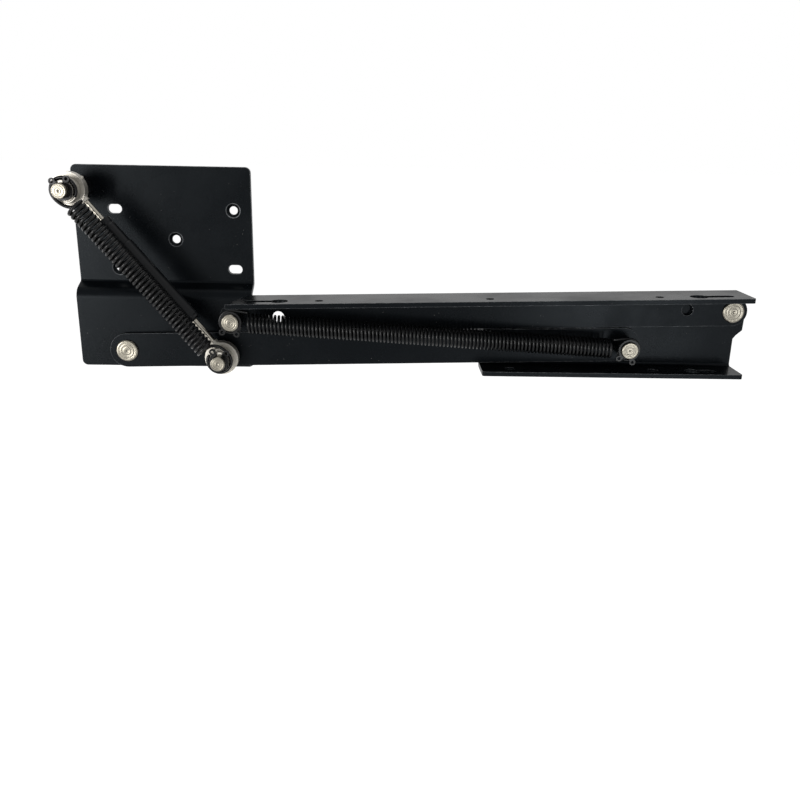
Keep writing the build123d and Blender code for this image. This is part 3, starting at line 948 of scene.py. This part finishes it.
@dataclass
class Damper:
    """Rod, gland, tube and base rod on one line, between two cast eyes.

    Radii and places on the line are in millimetres, and the nub's turn is in degrees.
    """

    rod: float = 1.4
    rod_ends: Place = (9.8, 66.8)
    rod_ease: float = 0.2
    gland: float = 3.7
    gland_bore: float = 3.2
    gland_reach: Place = (94.0, 78.0)
    gland_groove: Sequence[float] = (2.6, 3.0, 3.8, 4.2)
    gland_cut: float = 0.22
    gland_ease: float = 0.25
    tube: float = 4.25
    tube_bore: float = 3.6
    tube_foot: float = 25.0
    tube_mouth: Place = (0.5, 0.4)
    tube_groove: Sequence[float] = (2.8, 2.4, 1.8, 1.4)
    tube_cut: float = 0.2
    tube_shoulder: Place = (0.9, 1.2)
    tube_ease: float = 0.3
    cap: float = 4.0
    base_rod: float = 1.7
    base_end: float = 9.8
    ease_steps: int = 4
    nub_turn: float = 40.0
    nub_shape: Profile = ((7.6, 0), (7.6, 1.6), (8.9, 1.3), (9.7, 0.8), (10.1, 0.45), (10.1, 0))
    nub_ease: float = 0.1
    nub_steps: int = 2
    nub_sides: int = 24

    def rod_profile(self, start: float, end: float, radius: float) -> Profile:
        """Profile of a plain rod between two places on the line."""
        return [(start, 0), (start, radius), (end, radius), (end, 0)]

    def gland_profile(self, length: float) -> Profile:
        """Sleeve with a rolled mouth and one rolled groove.

        Args:
            length: Distance between the damper's pins.

        Returns:
            A closed profile.
        """
        mouth, seat = (length - reach for reach in self.gland_reach)
        outer, bore = self.gland, self.gland_bore
        wall, floor, rise, top = (mouth + along for along in self.gland_groove)
        return [(mouth, bore), (mouth, outer), (wall, outer), (floor, outer - self.gland_cut),
                (rise, outer - self.gland_cut), (top, outer), (seat, outer), (seat, bore)]

    def tube_profile(self, length: float) -> Profile:
        """Tube closed at its foot, with rolled shoulders at both ends.

        Args:
            length: Distance between the damper's pins.

        Returns:
            A profile from the inside of the closed end, along the bore, and back over the outside.
        """
        mouth, foot = length - self.gland_reach[1], length - self.tube_foot
        outer, bore = self.tube, self.tube_bore
        slope, draw = self.tube_mouth
        wall, floor, rise, top = (foot - along for along in self.tube_groove)
        shoulder, drop = self.tube_shoulder
        return [(foot - self.cap, 0), (foot - self.cap, bore), (mouth, bore), (mouth, outer - draw),
                (mouth + slope, outer), (wall, outer), (floor, outer - self.tube_cut),
                (rise, outer - self.tube_cut), (top, outer), (foot - shoulder, outer),
                (foot, outer - drop), (foot, 0)]

    def nub(self) -> bpy.types.Object:
        """Make the small cast nub on the rim of the anchor pin's eye.

        Returns:
            The new object.
        """
        profile = eased(self.nub_shape, self.nub_ease, self.nub_steps)
        pose = LAYOUT.anchor_pose(math.radians(self.nub_turn), 0.0)
        turned_piece("damper_rod_eye_nub", profile, pose, self.nub_sides)
        return finished("damper_rod_eye_nub", "damper_rod", CAST_ZINC, "damper_rod_eye")

    def build(self) -> list[bpy.types.Object]:
        """Make the damper's pieces.

        Returns:
            The new objects.
        """
        length = LAYOUT.damper_length
        rod = self.rod_profile(*self.rod_ends, self.rod)
        gland, tube = self.gland_profile(length), self.tube_profile(length)
        base_rod = self.rod_profile(length - self.tube_foot, length - self.base_end, self.base_rod)
        parts = [
            ("damper_rod", "damper_rod", ROD_STEEL, rod, self.rod_ease),
            ("damper_gland", "damper_tube", DAMPER_PAINT, gland, self.gland_ease),
            ("damper_tube", "damper_tube", DAMPER_PAINT, tube, self.tube_ease),
            ("damper_base_rod", "damper_tube", ROD_STEEL, base_rod, self.rod_ease),
        ]
        pose = LAYOUT.anchor_pose(LAYOUT.damper_turn, LAYOUT.damper_side)
        made = []
        for node, body, finish, profile, ease in parts:
            turned_piece(f"{node}_turned", eased(profile, ease, self.ease_steps), pose)
            made.append(finished(f"{node}_turned", body, finish, node))
        return made + CastEyes().build() + [self.nub()]


@dataclass
class TensionSpring:
    """Close-wound spring with a loop at each end, in two lengths that slide over each other.

    Each length rides with its own pin. At rest they lie on one helix, and the overlap lets the
    spring grow as the pins move apart. Sizes are in millimetres, and sweep is in degrees.
    """

    name: str
    start: Place
    end: Place
    depth: float
    wire: float
    coil_radius: float
    turns: int
    loop_radius: float
    lead: float
    level: LoopLevel
    stretch: float
    near_body: str
    far_body: str
    sweep: float = 250.0
    per_turn: int = 18
    sides: int = 10
    slip: float = 0.03
    loop_points: int = 44
    link_points: int = 18
    link_pull: float = 1.15
    spare_turns: float = 1.3
    smooth_angle: float = 60.0

    @property
    def span(self) -> float:
        """Distance between the two pins."""
        return math.dist(self.start, self.end)

    @property
    def pitch(self) -> float:
        """Advance of one turn."""
        return (self.span - 2 * self.lead) / self.turns

    def placed(self, points: np.ndarray) -> np.ndarray:
        """Turn (along, across, ahead) points into the hinge's own frame.

        Args:
            points: Rows of distances along the pins' line, across it and ahead of its plane.

        Returns:
            Rows of X, Y and Z in millimetres.
        """
        row = (np.array(self.end) - np.array(self.start)) / self.span
        x = self.start[0] + points[:, 0] * row[0] - points[:, 1] * row[1]
        z = self.start[1] + points[:, 0] * row[1] + points[:, 1] * row[0]
        return np.stack([x, -(self.depth + points[:, 2]), z], axis=1)

    def coil(self, first: int, last: int) -> np.ndarray:
        """Helix between two steps, where each turn has the same number of steps.

        Args:
            first: The first step, counted from the coil's near end.
            last: The last step.

        Returns:
            Rows of (along, across, ahead).
        """
        turn = np.arange(first, last + 1) / self.per_turn
        angle = 2 * np.pi * turn - (np.pi / 2 if self.level is LoopLevel.BACK else 0.0)
        across, ahead = self.coil_radius * np.cos(angle), self.coil_radius * np.sin(angle)
        return np.stack([self.lead + self.pitch * turn, across, ahead], axis=1)

    def loop(self, half: Half) -> np.ndarray:
        """Points of an end loop: from its tip to its crown at the near end, and back at the far.

        Args:
            half: Which end.

        Returns:
            Rows of (along, across, ahead).
        """
        near = half is Half.NEAR
        side = -1 if near and self.level is LoopLevel.BACK else 1
        start, end = (side * (90 + self.sweep), side * 90) if near else (90, 90 - self.sweep)
        angles = np.radians(np.linspace(start, end, self.loop_points))
        middle = 0.0 if near else self.span
        level = -self.coil_radius if self.level is LoopLevel.BACK else 0.0
        along, across = self.loop_radius * np.cos(angles), self.loop_radius * np.sin(angles)
        return np.stack([middle + along, across, np.full(len(angles), level)], axis=1)

    def link(self, start: np.ndarray, start_run: np.ndarray, end: np.ndarray,
             end_run: np.ndarray) -> np.ndarray:
        """Smooth wire between a loop's crown and the coil, without its two end points.

        Args:
            start: Where it begins.
            start_run: Direction there.
            end: Where it ends.
            end_run: Direction there.

        Returns:
            Rows of (along, across, ahead).
        """
        reach = np.linalg.norm(end - start) * self.link_pull
        a, b = (v / np.linalg.norm(v) * reach for v in (start_run, end_run))
        t = np.linspace(0, 1, self.link_points)[1:-1, None]
        return ((2 * t**3 - 3 * t**2 + 1) * start + (t**3 - 2 * t**2 + t) * a
                + (3 * t**2 - 2 * t**3) * end + (t**3 - t**2) * b)

    def path(self, half: Half) -> np.ndarray:
        """Middle line of one length of the spring, from one cut end to the other.

        Args:
            half: Which length.

        Returns:
            Rows of X, Y and Z in millimetres.
        """
        overlap = self.stretch + self.spare_turns * self.pitch
        middle = self.turns / 2
        reach = overlap / 2 / self.pitch
        loop = self.loop(half)
        if half is Half.NEAR:
            coil = self.coil(0, round((middle + reach) * self.per_turn))
            link = self.link(loop[-1], loop[-1] - loop[-2], coil[0], coil[1] - coil[0])
            return self.placed(np.concatenate([loop, link, coil]))
        coil = self.coil(round((middle - reach) * self.per_turn), self.turns * self.per_turn)
        link = self.link(coil[-1], coil[-1] - coil[-2], loop[0], loop[1] - loop[0])
        return self.placed(np.concatenate([coil, link, loop]))

    def build(self) -> list[bpy.types.Object]:
        """Wind both lengths.

        Returns:
            The new objects.
        """
        made = []
        for half, body, radius in ((Half.NEAR, self.near_body, self.wire / 2),
                                   (Half.FAR, self.far_body, self.wire / 2 - self.slip)):
            name = f"{self.name}_{half.value}_coil"
            as_object(name, wire_mesh(self.path(half), radius, self.sides), self.smooth_angle)
            made.append(finished(name, body, SPRING_BLACK, self.name))
        return made


@dataclass
class SmallFittings:
    """Washers, spacers, sleeves and the piston, which keep their CAD shape."""

    finishes: dict[str, Finish] = field(default_factory=lambda: {
        "bar_pivot_washer": ROD_STEEL,
        "leg_pivot_washer": ROD_STEEL,
        "arm_pivot_washer": ROD_STEEL,
        "bracket_pin_washer": ROD_STEEL,
        "arm_pivot_spacer": SPRING_BLACK,
        "bracket_pin_spacer": SPRING_BLACK,
        "spring_rear_sleeve": LINER,
        "spring_front_sleeve": LINER,
        "damper_piston": ROD_STEEL,
    })

    def build(self) -> list[bpy.types.Object]:
        """Dress each kept node.

        Returns:
            The kept nodes' objects.
        """
        kept = []
        for node, finish in self.finishes.items():
            finish.cover(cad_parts[node])
            kept.append(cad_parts[node])
        return kept


@dataclass(frozen=True)
class SoftLamp:
    """A soft square lamp that the camera doesn't see."""

    name: str
    place: tuple[float, float, float]
    size: float
    power: float
    tint: Colour = (1.0, 1.0, 1.0)

    def hang(self, aim: Vector) -> None:
        """Hang the lamp and point it at a place.

        Args:
            aim: The place it shines on, in metres.
        """
        data = bpy.data.lights.new(self.name, "AREA")
        data.shape, data.size, data.energy, data.color = "SQUARE", self.size, self.power, self.tint
        lamp = bpy.data.objects.new(self.name, data)
        bpy.context.scene.collection.objects.link(lamp)
        lamp.location = self.place
        lamp.rotation_mode = "QUATERNION"
        lamp.rotation_quaternion = (aim - lamp.location).to_track_quat("-Z", "Y")
        lamp.visible_camera = False


@dataclass
class Studio:
    """Pale floor, white surroundings, soft lamps and the camera.

    Places are in metres, the lens and its sensor in millimetres, and the tilt in degrees.
    """

    floor_height: float = -0.43
    floor_reach: float = 14.0
    floor_squares: int = 24
    floor_grey: float = 0.9
    floor_roughness: float = 0.9
    floor_glow: float = 0.56
    day: float = 0.50
    aim: Place = (0.12, -0.03)
    lens: float = 36.99
    sensor: float = 36.0
    sight: Place = (0.01, 20.0)
    eye: tuple[float, float, float] = (0.1127, -0.4625, 0.0554)
    tilt: tuple[float, float, float] = (-17.66, -1.11, -1.19)
    lamps: Sequence[SoftLamp] = (
        SoftLamp("left_lamp", (-1.08, -1.50, -0.08), 0.9, 47.0, (1.0, 0.99, 0.975)),
        SoftLamp("top_lamp", (0.35, -0.15, 1.1), 0.9, 3.0),
        SoftLamp("right_lamp", (0.60, -1.25, -0.24), 0.30, 3.0, (0.97, 0.985, 1.0)),
        SoftLamp("back_lamp", (0.1, 1.1, 0.6), 0.8, 0.25),
    )

    @staticmethod
    def seen(w: Wiring) -> bpy.types.NodeSocket:
        """Mask of the rays that show the surroundings: straight, mirrored or through glass.

        Args:
            w: Wiring of the material or world that asks.

        Returns:
            1 for such a ray, and 0 for one that only lights the hinge.
        """
        path = w.add("ShaderNodeLightPath")
        seen = w.maths("MAXIMUM", path.outputs["Is Camera Ray"], path.outputs["Is Glossy Ray"])
        return w.maths("MAXIMUM", seen, path.outputs["Is Transmission Ray"])

    def set_sky(self) -> None:
        """White surroundings where they are seen, and an even, dimmer light from all round."""
        world = bpy.data.worlds.new("white_room")
        bpy.context.scene.world = world
        world.use_nodes = True
        w = Wiring(world.node_tree)
        lift = w.maths("MULTIPLY", self.seen(w), 1.0 - self.day)
        w.feed(world.node_tree.nodes["Background"],
               {"Color": (1, 1, 1, 1), "Strength": w.maths("ADD", lift, self.day)})

    def lay_floor(self) -> None:
        """Wide pale floor that stays white to the eye and keeps the hinge's shadow."""
        mesh = bmesh.new()
        bmesh.ops.create_grid(mesh, x_segments=self.floor_squares, y_segments=self.floor_squares,
                              size=self.floor_reach)
        for vert in mesh.verts:
            vert.co.z = self.floor_height
        data = bpy.data.meshes.new("floor")
        mesh.to_mesh(data)
        mesh.free()
        floor = bpy.data.objects.new("floor", data)
        bpy.context.scene.collection.objects.link(floor)
        coat = bpy.data.materials.new("pale_floor")
        coat.use_nodes = True
        w = Wiring(coat.node_tree)
        w.feed(coat.node_tree.nodes["Principled BSDF"], {
            "Base Color": (self.floor_grey, self.floor_grey, self.floor_grey, 1),
            "Roughness": self.floor_roughness,
            "Specular IOR Level": 0.0,
            "Emission Color": (1, 1, 1, 1),
            "Emission Strength": w.maths("MULTIPLY", self.seen(w), self.floor_glow),
        })
        data.materials.append(coat)

    def set_camera(self) -> None:
        """Camera at the photograph's place and angle."""
        about_x, about_y, about_z = (Matrix.Rotation(math.radians(angle), 3, axis)
                                     for angle, axis in zip(self.tilt, "XYZ"))
        turned = about_z @ about_y @ about_x
        axes = Matrix((turned.col[0], turned.col[2], -turned.col[1])).transposed()
        data = bpy.data.cameras.new("photo_camera")
        data.lens, data.sensor_width = self.lens, self.sensor
        data.clip_start, data.clip_end = self.sight
        camera = bpy.data.objects.new("photo_camera", data)
        bpy.context.scene.collection.objects.link(camera)
        camera.matrix_world = Matrix.Translation(self.eye) @ axes.to_4x4()
        bpy.context.scene.camera = camera

    def build(self) -> None:
        """Set the whole studio."""
        self.set_sky()
        self.lay_floor()
        self.set_camera()
        aim = Vector((self.aim[0], 0.0, self.aim[1]))
        for lamp in self.lamps:
            lamp.hang(aim)
        bpy.context.scene.view_settings.view_transform = "Standard"


def springs() -> list[TensionSpring]:
    """The two springs, with about as many turns as the photograph shows.

    Returns:
        The short spring by the damper, and the long one between the arms' pins.
    """
    short = TensionSpring(
        name="short_spring", start=LAYOUT.anchor, end=LAYOUT.drive, depth=33.95,
        wire=1.8, coil_radius=4.45, turns=40, loop_radius=6.35, lead=9.6, level=LoopLevel.BACK,
        stretch=26.0, near_body="damper_rod", far_body="damper_tube",
    )
    long = TensionSpring(
        name="long_spring", start=LAYOUT.arm_pivot, end=LAYOUT.bracket_pin, depth=26.7,
        wire=1.4, coil_radius=4.9, turns=98, loop_radius=6.0, lead=9.5, level=LoopLevel.MIDDLE,
        stretch=83.9, near_body="spring_rear", far_body="spring_front",
    )
    return [short, long]


def main() -> None:
    """Set the studio, build the hinge piece by piece, and log each piece."""
    logging.basicConfig(level=logging.INFO, format="%(message)s")
    Studio().build()
    log.info("studio set")
    parts = (PressedSheets(), TurnedPins(), Drums(), Circlips(), Damper(), SmallFittings())
    for part in (*parts, *springs()):
        for piece in part.build():
            log.info("%s: %s", type(part).__name__, piece.name)


if __name__ == "__main__":
    main()
